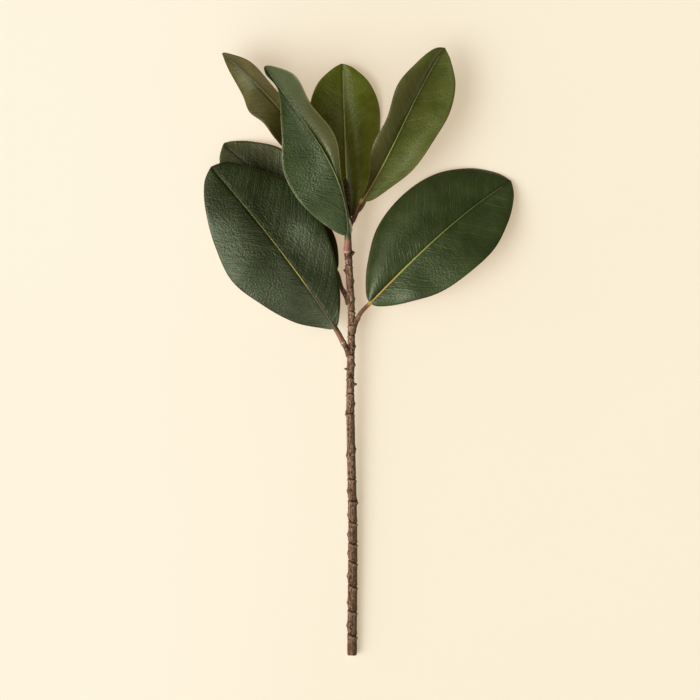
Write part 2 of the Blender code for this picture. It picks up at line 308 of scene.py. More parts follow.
def ramp(tree, value, stops):
    """A colour that follows a value through stops of (value, colour)."""
    node = add_node(tree, "ValToRGB", {0: value})
    for index, (place, colour) in enumerate(stops):
        stop = node.color_ramp.elements[index] if index < 2 else node.color_ramp.elements.new(place)
        stop.position = place
        stop.color = (*colour, 1)
    return node.outputs[0]


def noise(tree, place, scale, detail=2.0, roughness=0.5):
    inputs = {"Vector": place, "Scale": scale, "Detail": detail, "Roughness": roughness}
    return add_node(tree, "TexNoise", inputs).outputs[0]


def mark(tree, name, output="Fac"):
    return add_node(tree, "Attribute", attribute_name=name).outputs[output]


def new_material(name):
    made = bpy.data.materials.new(name)
    made.use_nodes = True
    made.node_tree.nodes.clear()
    return made, made.node_tree


def finish_material(tree, colour, roughness, height, bump_distance, **settings):
    """Ends a material in its Principled shader. A height of 1 stands bump_distance millimetres proud."""
    bump = add_node(tree, "Bump", {"Height": height, "Distance": bump_distance * MM, "Strength": 1.0})
    inputs = {"Base Color": colour, "Roughness": roughness, "Normal": bump.outputs[0]}
    inputs.update({key.replace("_", " "): value for key, value in settings.items()})
    shader = add_node(tree, "BsdfPrincipled", inputs)
    add_node(tree, "OutputMaterial", {"Surface": shader.outputs[0]})


OLD_BARK = ((0.034, 0.014, 0.007), (0.270, 0.145, 0.098))  # its dark and its light tone
YOUNG_BARK = ((0.060, 0.026, 0.016), (0.44, 0.265, 0.190))
RED_PATCH = (0.150, 0.066, 0.042)
GREENER_RIGHT_SIDE = (0.115, 0.092, 0.042)
PORE = (0.56, 0.40, 0.29)
LIP_HIGHLIGHT = (0.38, 0.24, 0.16)
SCAR = (0.013, 0.007, 0.004)
NEWEST_BARK = (0.035, 0.018, 0.014)
CUT_WOOD = ((0.3, 0.2, 0.11), (0.52, 0.38, 0.24))


def make_bark():
    made, tree = new_material("bark")
    grain = mark(tree, "grain", "Vector")
    across, along = add_node(tree, "SeparateXYZ", {0: grain}).outputs[:2]

    def stretched(length):
        """The place in the bark, squeezed along the twig so that a pattern comes out longer."""
        return add_node(tree, "Mapping", {"Vector": grain, "Scale": (1, length, 1)}).outputs[0]

    def share_of(value, most):
        return maths(tree, "MULTIPLY", value, most)

    streaks = noise(tree, stretched(0.1), 900, 4, 0.6)
    patches = noise(tree, grain, 130, 3, 0.6)
    specks = noise(tree, grain, 1500, 2)
    flakes = noise(tree, stretched(0.45), 780, 4, 0.65)
    age = fade(tree, along, 0.05, 0.30)
    deep, light = (tinted(tree, age, old, young) for old, young in zip(OLD_BARK, YOUNG_BARK))
    blend = maths(tree, "MULTIPLY_ADD", flakes, 0.6, share_of(streaks, 0.4))
    colour = tinted(tree, fade(tree, blend, 0.43, 0.57), deep, light)
    colour = tinted(tree, fade(tree, patches, 0.42, 0.68, 0, 0.6), colour, RED_PATCH)
    # A greener tone in streaks along the right side of the twig.
    right_side_share = share_of(fade(tree, across, 0.0002, 0.0026), fade(tree, streaks, 0.3, 0.6, 0.3, 0.75))
    colour = tinted(tree, right_side_share, colour, GREENER_RIGHT_SIDE)
    # Pores: small pale dashes, a few to each centimetre.
    cells = add_node(tree, "TexVoronoi", {"Vector": stretched(0.7), "Scale": 420.0, "Randomness": 1.0})
    keep = fade(tree, noise(tree, grain, 260, 1), 0.38, 0.52)
    pores = share_of(fade(tree, cells.outputs["Distance"], 0.24, 0.1), keep)
    colour = tinted(tree, share_of(pores, 0.9), colour, PORE)
    # Painted highlight: the raised lips of the ring scars, knobs and spurs, and the chipped cut edge, are
    # painted a paler brown.
    colour = tinted(tree, share_of(mark(tree, "lip"), 0.5), colour, LIP_HIGHLIGHT)
    colour = tinted(tree, share_of(mark(tree, "scar"), 0.94), colour, SCAR)
    colour = tinted(tree, share_of(fade(tree, along, 0.345, 0.362), 0.82), colour, NEWEST_BARK)
    # The cut end: pale wood, lighter and darker in specks.
    wood = ramp(tree, fade(tree, specks, 0.3, 0.7), ((0.0, CUT_WOOD[0]), (1.0, CUT_WOOD[1])))
    colour = tinted(tree, mark(tree, "cut"), colour, wood)
    height = maths(tree, "MULTIPLY_ADD", flakes, 0.6, share_of(streaks, 0.5))
    height = maths(tree, "MULTIPLY_ADD", specks, 0.25, height)
    height = maths(tree, "MULTIPLY_ADD", pores, 0.3, height)
    rough = fade(tree, streaks, 0.3, 0.7, 0.78, 0.6)
    finish_material(tree, colour, rough, height, 0.4, Specular_IOR_Level=0.2)
    return made


bark = make_bark()
twig = make_twig()
shape_bark(twig)
twig.data.materials.append(bark)
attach(twig, "root")
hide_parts("stem")


# --- the buds ---
# The closed bud at the tip is a pointed egg wrapped in dark, downy scales that overlap from below. Each side
# bud is a small knob of two or three woody scales pressed against the bark.

# Each bud: its base, the way it points, its length and its radius. A profile is its thickness along the bud.
TERMINAL_BUD = ((-10.32, 120.6, 20.8), (-0.055, 0.995, 0.06), 24.6, 2.9)
TERMINAL_PROFILE = (0.78, 0.8, 0.84, 0.88, 0.93, 1.0, 1.02, 0.96, 0.84, 0.66, 0.42, 0.12)
# Each scale: how far up its edge lies, the side of its point in radians, and how high the point is.
TERMINAL_SCALES = (
    (0.1, 0.2, 0.05), (0.2, 2.6, 0.05), (0.3, 4.4, 0.06),
    (0.42, 1.1, 0.08), (0.6, 3.6, 0.12), (0.78, 0.6, 0.1),
)
SIDE_BUDS = {
    "side_bud_upper_right": ((-8.4, 82.8, 17.4), (1.0, 0.05, 0.05), 4.7, 2.0),
    "side_bud_upper_left": ((-9.9, 67.2, 16.8), (-1.0, 0.25, 0.1), 3.9, 2.4),
    "side_bud_lower_left": ((-9.3, -15.6, 12.4), (-1.0, 0.2, 0.05), 3.9, 1.6),
    "side_bud_lower_right": ((-6.9, -28.4, 12.0), (1.0, 0.12, 0.05), 4.8, 2.2),
}
SIDE_PROFILE = (1.0, 0.98, 0.92, 0.83, 0.72, 0.58, 0.4, 0.16)
SIDE_SCALES = ((0.3, 0.4, 0.1), (0.62, 3.4, 0.12))
SCALE_STEP = 0.07  # how far a scale stands over the next one, as a share of the bud's radius
BARE_BUD = 0.9  # the bud under its scales, as a share of its radius


def make_bud(node, base, direction, length, radius, profile, scales, finish):
    share = np.linspace(0, 1, ROD_RINGS)
    direction = np.array(direction) / np.linalg.norm(direction)
    line = np.array(base) + share[:, None] * direction * length
    radii = radius * smooth(profile, share)
    bud = make_rod("scales_" + node, line, radii, radii, radii, sides=40)
    points = points_of(bud) / MM
    run = (points - np.array(base)) @ direction
    aside = points - np.array(base) - run[:, None] * direction
    turn = np.arctan2(aside[:, 2], aside[:, 0])
    step = np.zeros(len(points))
    edge = np.zeros(len(points))
    for place, side, reach in scales:
        point = np.maximum(np.cos(turn - side), 0) ** 2
        above = run / length - place - reach * point
        lap = 1 / (1 + np.exp(np.clip(above / 0.006, -30, 30)))
        step += SCALE_STEP * lap * np.exp(np.minimum(above, 0) / 0.12)
        edge = np.maximum(edge, np.exp(-(((above - 0.008) / 0.012) ** 2)))
    ribs = 0.02 * np.sin(14 * turn + 3 * np.sin(run)) + 0.012 * np.sin(27 * turn + 2 * np.sin(1.7 * run))
    grown = (BARE_BUD + step + ribs * np.clip(run / length * 4, 0, 1))[:, None] * aside
    set_points(bud, (np.array(base) + run[:, None] * direction + grown) * MM)
    set_mark(bud, "edge", edge)
    set_mark(bud, "grain", np.stack([np.cos(turn) * radius, run, np.sin(turn) * radius], axis=1) * MM)
    bud.data.materials.append(finish)
    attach(bud, "root")
    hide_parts(node)


def make_bud_scale(name, dark, light, edge_colour):
    made, tree = new_material(name)
    grain = mark(tree, "grain", "Vector")
    streaked = add_node(tree, "Mapping", {"Vector": grain, "Scale": (1, 0.14, 1)}).outputs[0]
    down = noise(tree, streaked, 2600, 3, 0.6)
    patches = noise(tree, grain, 420, 3)
    colour = tinted(tree, fade(tree, down, 0.44, 0.68), dark, light)
    colour = tinted(tree, fade(tree, patches, 0.5, 0.75, 0, 0.4), colour, light)
    colour = tinted(tree, maths(tree, "MULTIPLY", mark(tree, "edge"), 0.8), colour, edge_colour)
    finish_material(tree, colour, 0.7, down, 0.3, Sheen_Weight=0.06, Sheen_Roughness=0.4)
    return made


downy_scale = make_bud_scale("downy_scale", (0.022, 0.010, 0.005), (0.19, 0.105, 0.062), (0.20, 0.12, 0.07))
woody_scale = make_bud_scale("woody_scale", (0.06, 0.03, 0.02), (0.22, 0.13, 0.085), (0.02, 0.011, 0.008))
make_bud("terminal_bud", *TERMINAL_BUD, TERMINAL_PROFILE, TERMINAL_SCALES, downy_scale)
for bud_name, bud_place in SIDE_BUDS.items():
    make_bud(bud_name, *bud_place, SIDE_PROFILE, SIDE_SCALES, woody_scale)


# --- the leaves ---
# Each leaf is a thick, leathery blade, dark and waxy above and rusty with felt below, on a short reddish
# stalk that runs on under the blade as its midrib. Side veins arch forward to the brown margin.

# `midrib` holds the four control points of its curve from the blade's base to its tip. `left` and `right`
# are the widths of the halves at evenly spaced stations. The rises are the heights of the middle and the
# margin of each half over the midrib, near the base, at the middle and near the tip. `swells` are broad
# rises in the blade: (across, along, height, radius). `columns` and `rows` are the faces of the blade's grid,
# `veins` is the distance between side veins, and `pebble` is how deep the skin's dimples are. `foot_end` is
# the share of the midrib that keeps the colour of its foot. `shaded_base` is how far from its base a blade is
# painted dark, a painted shadow from the front leaf. `sheen_half` is 1 where the left half is painted with
# a grey-olive sheen, -1 where the right is, and 0 where neither is.
LEAVES = {
    "lower_left": dict(
        midrib=((-20.5, 19.3, 19), (-50, 65, 27), (-86, 111, 27), (-125, 155.2, 16)),
        left=(9.5, 26.5, 39.5, 48, 41, 28, 13.5), right=(8, 21, 34.5, 43.5, 42, 27, 14),
        left_rise=((-3, -6), (-2, -8), (0, -2)),
        right_rise=((1, 2), (0, 1), (0, -1)),
        swells=((-35, 80, 4, 20), (40, 80, 2, 20)),
        stalk_radius=2.4, columns=112, rows=226, rib_size=0.5, veins=9.2, seed=11,
        green=(0.013, 0.019, 0.004), tint=(0.021, 0.029, 0.007), gloss=0.45, pebble=1.3,
        stalk=(0.27, 0.115, 0.075), rib_foot=(0.10, 0.062, 0.020), rib=(0.50, 0.38, 0.06),
        rib_tip=(0.28, 0.26, 0.05), edge=(0.045, 0.03, 0.012),
        foot_end=0.2, vein_tone=0.26, shaded_base=0, sheen_half=0,
    ),
    "lower_right": dict(
        midrib=((8.8, 40.4, 16), (46, 78, 23), (83.5, 116, 15), (128.5, 144.2, 3.0)),
        left=(11, 26, 41, 46.5, 43, 29.5, 12.5), right=(10, 22.5, 35.5, 40, 38.5, 27.5, 13),
        left_rise=((3, -6), (1, -9), (0, -5)),
        right_rise=((2, 0), (4, 8), (6, 8)),
        swells=((-25, 30, 3, 15), (-15, 80, 4, 35)),
        stalk_radius=1.9, columns=112, rows=226, rib_size=0.9, veins=9.6, seed=23,
        green=(0.038, 0.053, 0.018), tint=(0.050, 0.067, 0.022), gloss=0.5, pebble=1.6,
        stalk=(0.22, 0.09, 0.05), rib_foot=(0.56, 0.34, 0.07), rib=(0.42, 0.42, 0.07),
        rib_tip=(0.12, 0.15, 0.04), edge=(0.045, 0.03, 0.012),
        foot_end=0.12, vein_tone=0.5, shaded_base=0, sheen_half=0,
    ),
    "left_back": dict(
        midrib=((-20, 68, 13), (-50, 110, 9), (-83, 152, 4), (-115.5, 176, 1.1)),
        left=(7, 17, 26, 32, 30, 23, 11.5), right=(7, 16, 21, 30, 30, 17.5, 6.2),
        left_rise=((0, -2), (0, -3), (0, -1)),
        right_rise=((0, -1), (-1, 3), (0, 1)),
        swells=((-10, 120, 2, 15),),
        stalk_radius=1.7, columns=84, rows=186, rib_size=0.6, veins=8.6, seed=37,
        green=(0.034, 0.034, 0.009), tint=(0.043, 0.039, 0.012), gloss=0.36, pebble=1.0,
        stalk=(0.15, 0.06, 0.04), rib_foot=(0.18, 0.13, 0.06), rib=(0.2, 0.17, 0.08),
        rib_tip=(0.14, 0.13, 0.07), edge=(0.09, 0.05, 0.02),
        foot_end=0.12, vein_tone=0.42, shaded_base=0, sheen_half=0,
    ),
    "front": dict(
        midrib=((-9.6, 96.1, 29), (-8.5, 152, 40), (-49, 190, 54), (-78.4, 233.6, 56)),
        left=(14.5, 29, 37.5, 36.5, 19, 2.5, 2.5), right=(3.2, 0.9, 3.7, 14, 12, 15.5, 6.5),
        left_rise=((0, -1), (-4, -6), (0, 0)),
        right_rise=((0, 2), (1, 14), (6, 13)),
        swells=((0, 80, -2, 15), (10, 95, -2, 25)),
        stalk_radius=2.9, columns=96, rows=196, rib_size=0.55, veins=8.8, seed=41,
        green=(0.023, 0.039, 0.007), tint=(0.033, 0.049, 0.010), gloss=0.55, pebble=1.7,
        stalk=(0.33, 0.14, 0.1), rib_foot=(0.05, 0.062, 0.02), rib=(0.22, 0.24, 0.07),
        rib_tip=(0.12, 0.14, 0.05), edge=(0.12, 0.11, 0.04),
        foot_end=0.2, vein_tone=0.42, shaded_base=0, sheen_half=-1,
    ),
    "upper_left": dict(
        midrib=((-17, 119, 20.5), (-35, 167, 24), (-72, 215, 24), (-115, 249.3, 24)),
        left=(2, 4, 7, 10, 12.5, 15, 17, 18.5, 18, 20.5, 15, 11, 7.5, 4, 1), right=(2, 4, 6, 7, 7.3, 9, 3),
        left_rise=((0, 4), (3, 6), (-3, -6)),
        right_rise=((3, 5), (6, 15), (5, 11)),
        swells=((0, 100, 4, 20),),
        stalk_radius=1.6, columns=84, rows=186, rib_size=0.55, veins=8.2, seed=53,
        green=(0.066, 0.054, 0.013), tint=(0.095, 0.079, 0.024), gloss=0.24, pebble=1.0,
        stalk=(0.1, 0.045, 0.03), rib_foot=(0.12, 0.09, 0.04), rib=(0.18, 0.15, 0.07),
        rib_tip=(0.17, 0.15, 0.08), edge=(0.09, 0.05, 0.02),
        foot_end=0.12, vein_tone=0.45, shaded_base=95, sheen_half=0,
    ),
    "centre_back": dict(
        midrib=((-8.4, 113.5, 12.4), (-11, 157, 5), (-13.5, 205, 4), (-14, 242.9, 7)),
        left=(8, 17, 27, 31, 29.5, 22.3, 9), right=(10.5, 18, 25, 29, 30, 22.3, 9.3),
        left_rise=((1, 5), (1, 6), (1, 3)),
        right_rise=((5, 3), (4, -3), (3, 2)),
        swells=((5, 100, 4, 35),),
        stalk_radius=1.7, columns=84, rows=186, rib_size=1.2, veins=8.4, seed=67,
        # Its green and its midrib colours are the leaf's own light, yellow tones, raised further as painted
        # light to offset the front leaf's shadow over it.
        green=(0.145, 0.172, 0.020), tint=(0.168, 0.190, 0.036), gloss=0.5, pebble=1.2,
        stalk=(0.1, 0.045, 0.03), rib_foot=(0.75, 0.70, 0.20), rib=(0.68, 0.70, 0.20),
        rib_tip=(0.28, 0.30, 0.07), edge=(0.13, 0.09, 0.03),
        foot_end=0.12, vein_tone=0.65, shaded_base=0, sheen_half=0,
    ),
    "upper_right": dict(
        midrib=((2.1, 126.5, 25), (27, 162, 28), (43, 210, 32), (70.5, 252.7, 32)),
        left=(1.3, 5, 14.5, 14.3, 18.5, 13, 6.6), right=(7, 14, 24, 28.5, 30.5, 24, 10),
        left_rise=((5, 10), (8, 11), (7, 8)),
        right_rise=((-1, 2), (-4, 5), (-3, -3)),
        swells=((0, 90, 3, 20), (-7, 60, 4, 30)),
        stalk_radius=2.0, columns=84, rows=186, rib_size=0.62, veins=8.8, seed=79,
        green=(0.094, 0.107, 0.022), tint=(0.115, 0.122, 0.030), gloss=0.5, pebble=1.3,
        stalk=(0.12, 0.034, 0.018), rib_foot=(0.40, 0.19, 0.055), rib=(0.42, 0.42, 0.13),
        rib_tip=(0.34, 0.36, 0.16), edge=(0.10, 0.055, 0.02),
        foot_end=0.12, vein_tone=0.6, shaded_base=0, sheen_half=1,
    ),
}
BLADE_THICKNESS = 0.5
TIP_HALF_WIDTH = 0.35
RIB_END = 0.95
STALK_RINGS = 26
ROW_EASE = 0.08  # the rows crowd together over this share of the blade at each end
VEIN_LEAN = 0.65  # how far forward a side vein runs for each millimetre out from the midrib
VEIN_ARCH = 0.006
OTHER_HALF = 0.47  # how far the right half's veins are shifted, as a share of their distance
VEIN_DEPTH, PILLOW_HEIGHT, PLEAT_HEIGHT = 0.04, 0.02, 0.008  # at the side veins, and between them
WAVE_HEIGHT, EDGE_WAVE_HEIGHT = 0.4, 0.6
GUTTER_DEPTH = 0.22  # along the midrib
ROLLED_EDGE = (0.45, 2.4)  # how far the margin turns down, and over what width


def midrib_at(leaf, share):
    a, b, c, d = (np.array(point, float) for point in leaf["midrib"])
    share = share[:, None]
    left = 1 - share
    return a * left**3 + b * 3 * left**2 * share + c * 3 * left * share**2 + d * share**3


def left_of_midrib(leaf, share):
    """Level direction to the left of the midrib, seen from above with the tip ahead."""
    step = 0.01
    ahead = midrib_at(leaf, np.minimum(share + step, 1)) - midrib_at(leaf, np.maximum(share - step, 0))
    side = np.stack([-ahead[:, 1], ahead[:, 0], 0 * share], axis=1)
    return side / np.linalg.norm(side, axis=1)[:, None]


def station(values, place, sharp_tip):
    """A width or a height that is zero at both ends of the blade and passes through the stations between."""
    ends = np.array((0.0, *values, 0.0))
    return smooth(ends, place, before=-ends[1], after=ends[-2] if sharp_tip else -ends[-2])


def swell(along, across, wavelength, seed):
    """A gentle, wandering rise and fall between about -1 and 1."""
    draw = np.random.default_rng(seed)
    total = np.zeros_like(along)
    for _ in range(6):
        heading, phase = draw.uniform(0, 2 * math.pi, 2)
        pace = 2 * math.pi * draw.uniform(0.7, 1.4) / wavelength
        total += np.sin(pace * (along * math.cos(heading) + across * math.sin(heading)) + phase)
    return total / 3


def run_to(leaf, share):
    """Length of the midrib up to a share of it."""
    table = np.linspace(0, 1, 400)
    steps = np.linalg.norm(np.diff(midrib_at(leaf, table), axis=0), axis=1)
    return np.interp(share, table, np.concatenate([[0], np.cumsum(steps)]))


def bulge(leaf, across, along):
    """Height of the leaf's broad swells and hollows."""
    height = np.zeros_like(along)
    for side, where, rise, radius in leaf["swells"]:
        height += rise * np.exp(-((across - side) ** 2 + (along - where) ** 2) / radius**2)
    return height


def make_blade(name, leaf, finishes):
    bpy.ops.object.select_all(action="DESELECT")
    bpy.ops.mesh.primitive_grid_add(x_subdivisions=leaf["columns"], y_subdivisions=leaf["rows"], size=2)
    blade = bpy.context.object
    blade.name = blade.data.name = name
    grid = points_of(blade)
    across = -grid[:, 0] * (1.3 - 0.3 * grid[:, 0] ** 2)  # columns crowd together towards the margins
    row = (grid[:, 1] + 1) / 2
    eased = np.where(row < ROW_EASE, row**2 / (2 * ROW_EASE), row - ROW_EASE / 2)
    eased = np.where(row > 1 - ROW_EASE, 1 - ROW_EASE - (1 - row) ** 2 / (2 * ROW_EASE), eased)
    share = np.clip(eased / (1 - ROW_EASE), 0, 1)
    place = np.arccos(1 - 2 * share) / math.pi
    out = np.abs(across)
    left = across > 0
    full_width = np.where(left, station(leaf["left"], place, True), station(leaf["right"], place, True))
    middle, margin = (
        np.where(
            left,
            station([rise[index] for rise in leaf["left_rise"]], place, False),
            station([rise[index] for rise in leaf["right_rise"]], place, False),
        )
        for index in (0, 1)
    )
    height = (4 * middle - margin) * out + (2 * margin - 4 * middle) * out**2
    width = full_width * out + TIP_HALF_WIDTH * out * np.abs(np.cos(math.pi * place)) ** 8
    along = run_to(leaf, share)
    to_margin = np.abs(full_width) * (1 - out)
    room = np.clip(np.abs(full_width) / 12, 0, 1) * np.clip(along / 10, 0, 1)

    # Side veins: the phase is a whole number on each vein.
    signed = width * np.sign(across)
    start = along - VEIN_LEAN * width - VEIN_ARCH * width**2 + 1.3 * swell(along, signed, 38, leaf["seed"])
    phase = start / leaf["veins"] + np.where(left, 0, OTHER_HALF)
    near = np.abs(phase - np.rint(phase)) * leaf["veins"]
    outer = np.clip(to_margin / 6, 0, 1)
    relief = PILLOW_HEIGHT * (1 - np.cos(2 * math.pi * phase)) / 2 - VEIN_DEPTH * np.exp(-((near / 0.9) ** 2))
    fold = phase * 3 + 0.35 * swell(along, signed, 16, leaf["seed"] + 1)
    relief += PLEAT_HEIGHT * np.sin(2 * math.pi * fold) * np.clip(width / 3, 0, 1)
    height += relief * outer * room
    height += WAVE_HEIGHT * swell(along, signed, 62, leaf["seed"] + 2) * room * out
    height += EDGE_WAVE_HEIGHT * swell(along, np.sign(across) * 60, 34, leaf["seed"] + 3) * room * out**3
    height -= GUTTER_DEPTH * np.exp(-((width / 1.5) ** 2)) * room
    height -= ROLLED_EDGE[0] * np.clip(1 - to_margin / ROLLED_EDGE[1], 0, 1) ** 2 * room
    height += bulge(leaf, signed, along)
    surface = midrib_at(leaf, share) + left_of_midrib(leaf, share) * signed[:, None]
    surface[:, 2] += height
    set_points(blade, surface * MM)
    set_mark(blade, "blade", np.stack([signed, along, to_margin], axis=1) * MM)
    set_mark(blade, "vein_phase", phase)
    bpy.ops.object.modifier_add(type="SOLIDIFY")
    thicken = blade.modifiers[-1]
    thicken.thickness = BLADE_THICKNESS * MM
    thicken.offset = -1
    thicken.material_offset = 1
    thicken.material_offset_rim = 2
    for finish in finishes:
        blade.data.materials.append(finish)
    bpy.ops.object.modifier_apply(modifier=thicken.name)
    bpy.ops.object.shade_smooth()
    return blade


def make_rib(name, leaf, spur, finish):
    """The stalk, from its spur to the blade, and on along the blade as the midrib."""
    root, seat = (np.array(point, float) for point in spur)
    outward = (seat - root) / np.linalg.norm(seat - root)
    base, after = midrib_at(leaf, np.array([0.0, 0.03]))
    ahead = (after - base) / np.linalg.norm(after - base)
    start = seat - outward * 0.3
    reach = np.linalg.norm(base - start) / 3
    low = base - np.array([0, 0, 0.6])
    corners = np.array([start, start + outward * reach, low - ahead * reach, low])
    stalk_share = np.linspace(0, 1, STALK_RINGS, endpoint=False)
    stalk = midrib_at(dict(midrib=corners), stalk_share)
    rib_share = np.linspace(0, 1, ROD_RINGS - STALK_RINGS) ** 1.3 * RIB_END
    rib = midrib_at(leaf, rib_share)
    sink = 0.6 - 0.25 * rib_share
    rib[:, 2] += bulge(leaf, 0, run_to(leaf, rib_share)) - sink
    line = np.concatenate([stalk, rib])
    thick = leaf["stalk_radius"]
    joint = np.exp(-((stalk_share / 0.12) ** 2))
    stalk_radii = thick * (1 - 0.1 * stalk_share + 0.14 * joint)
    settle = np.clip(rib_share / 0.024, 0, 1)
    settle = settle * settle * (3 - 2 * settle)
    proud = 0.3 * (1 - rib_share) ** 1.6 + 0.06
    seen = leaf["rib_size"] * (1.25 * (1 - rib_share) ** 2.2 + 0.2)
    wide = seen / np.sqrt(1 - (sink / (sink + proud)) ** 2)
    under = thick * 0.8 * (1 - rib_share) + 0.3
    sizes = (stalk_radii[-1] * (1 - settle) + part * settle for part in (wide, sink + proud, under))
    made = make_rod(name, line, *(np.concatenate([stalk_radii, size]) for size in sizes), sides=20)
    run = np.cumsum(np.concatenate([[0], np.linalg.norm(np.diff(line, axis=0), axis=1)]))
    run -= run[STALK_RINGS]
    points = points_of(made) / MM
    nearest = np.argmin(((points[:, None, :] - line[None]) ** 2).sum(axis=2), axis=1)
    set_mark(made, "run", run[nearest] * MM)
    set_mark(made, "collar", np.exp(-(((run[nearest] - run[0] - 1.0) / 0.45) ** 2)))
    made.data.materials.append(finish)
    return made


def make_leaf_figure():
    """The node group that all leaf finishes share: veins, creases, dimples, cloudy patches, margin, and the
    strip beside the midrib that gets a painted shade.
    """
    tree = bpy.data.node_groups.new("leaf_figure", "ShaderNodeTree")
    for name, kind in (("Blade", "NodeSocketVector"), ("Vein Phase", "NodeSocketFloat")):
        tree.interface.new_socket(name, in_out="INPUT", socket_type=kind)
    for name in ("Veins", "Height", "Clouds", "Margin", "Midrib Shade"):
        tree.interface.new_socket(name, in_out="OUTPUT", socket_type="NodeSocketFloat")
    entry = tree.nodes.new("NodeGroupInput")
    blade, phase = entry.outputs["Blade"], entry.outputs["Vein Phase"]
    parts = add_node(tree, "SeparateXYZ", {0: blade})
    across, along, to_margin = parts.outputs
    flat = add_node(tree, "CombineXYZ", {0: across, 1: along}).outputs[0]
    out = maths(tree, "ABSOLUTE", across)
    bent = maths(tree, "MULTIPLY_ADD", noise(tree, flat, 130, 3), 0.3, phase)
    gap = maths(tree, "PINGPONG", bent, 0.5)
    shown = fade(tree, noise(tree, flat, 48, 1), 0.40, 0.62, 0.2, 1)
    shown = maths(tree, "MULTIPLY", shown, fade(tree, to_margin, 0.001, 0.012))
    veins = maths(tree, "MULTIPLY", fade(tree, gap, 0.04, 0.006), shown)
    # Creases run with the side veins, so their noise is stretched along them; dimples lie between.
    stretched = add_node(
        tree, "CombineXYZ", {0: maths(tree, "MULTIPLY", phase, 0.009), 1: maths(tree, "MULTIPLY", out, 0.16)}
    ).outputs[0]
    creased = fade(tree, noise(tree, flat, 27, 2), 0.42, 0.62)
    creased = maths(tree, "MAXIMUM", creased, fade(tree, along, 0.07, 0.03, 0, 0.7))
    creased = maths(tree, "MULTIPLY", creased, 0.44)
    creases = maths(tree, "MULTIPLY", noise(tree, stretched, 560, 2, 0.55), creased)
    dimpled = fade(tree, creased, 0.396, 0.044, 0.105, 0.3)
    dimples = maths(tree, "MULTIPLY", noise(tree, flat, 540, 2, 0.5), dimpled)
    height = maths(tree, "ADD", creases, dimples)
    height = maths(tree, "MULTIPLY_ADD", veins, -0.05, height)
    clouds = noise(tree, flat, 46, 4, 0.55)
    margin = maths(tree, "MULTIPLY", fade(tree, to_margin, 0.0009, 0.0003), fade(tree, out, 0.002, 0.005))
    # The strip beside the midrib, where the skin gets a painted shade in its gutter.
    midrib = fade(tree, out, 0.0034, 0.0012)
    exit_node = tree.nodes.new("NodeGroupOutput")
    found = {"Veins": veins, "Height": height, "Clouds": clouds, "Margin": margin, "Midrib Shade": midrib}
    for name, value in found.items():
        tree.links.new(value, exit_node.inputs[name])
    return tree


leaf_figure = make_leaf_figure()


def figure_of(tree):
    node = tree.nodes.new("ShaderNodeGroup")
    node.node_tree = leaf_figure
    tree.links.new(mark(tree, "blade", "Vector"), node.inputs["Blade"])
    tree.links.new(mark(tree, "vein_phase"), node.inputs["Vein Phase"])
    return node.outputs


WAX_TINT = (0.91, 1.0, 0.76, 1)
# The grey-olive of the painted sheen on a half seen at a slant.
OLIVE_SHEEN = (0.082, 0.071, 0.028)


def make_leaf_skin(name, leaf):
    """The waxy upper face."""
    made, tree = new_material("leaf_skin_" + name)
    figure = figure_of(tree)
    green, tint = leaf["green"], leaf["tint"]
    dark, gutter_shade_green, shadow_green = (tuple(tone * part for part in green) for tone in (0.82, 0.4, 0.3))
    vein = tuple(2.0 * part + 0.02 for part in tint)
    colour = tinted(tree, fade(tree, figure["Clouds"], 0.36, 0.5), dark, green)
    colour = tinted(tree, fade(tree, figure["Clouds"], 0.48, 0.68), colour, tint)
    across, along = add_node(tree, "SeparateXYZ", {0: mark(tree, "blade", "Vector")}).outputs[:2]
    # Painted sheen: one half of the blade, seen at a slant, is painted a grey-olive sheen, fainter towards
    # the tip.
    if leaf["sheen_half"]:
        painted_sheen = fade(tree, maths(tree, "MULTIPLY", across, leaf["sheen_half"]), 0.0, 0.004, 0.0, 0.7)
        painted_sheen = maths(tree, "MULTIPLY", painted_sheen, fade(tree, along, 0.135, 0.095, 0.25, 1))
        colour = tinted(tree, painted_sheen, colour, OLIVE_SHEEN)
    # Painted shadow: near its base the blade is painted dark where the front leaf's shadow falls.
    if leaf["shaded_base"]:
        shadow_to = leaf["shaded_base"] * MM
        base_shadow = fade(tree, along, shadow_to + 0.02, shadow_to - 0.02, 0, 0.65)
        colour = tinted(tree, base_shadow, colour, shadow_green)
    colour = tinted(tree, maths(tree, "MULTIPLY", figure["Veins"], leaf["vein_tone"]), colour, vein)
    # Painted shade: the skin is painted a deep green in the gutter beside the midrib.
    colour = tinted(tree, maths(tree, "MULTIPLY", figure["Midrib Shade"], 0.45), colour, gutter_shade_green)
    colour = tinted(tree, maths(tree, "MULTIPLY", figure["Margin"], 0.85), colour, leaf["edge"])
    rough = fade(tree, figure["Clouds"], 0.35, 0.65, 0.21, 0.27)
    wax = dict(Specular_Tint=WAX_TINT, Specular_IOR_Level=leaf["gloss"])
    finish_material(tree, colour, rough, figure["Height"], leaf["pebble"], **wax)
    return made


FELT = (0.19, 0.085, 0.038)
PALE_FELT = (0.34, 0.175, 0.085)
FELT_NAP = (0.42, 0.25, 0.14)
FELT_VEIN = (0.36, 0.24, 0.12)


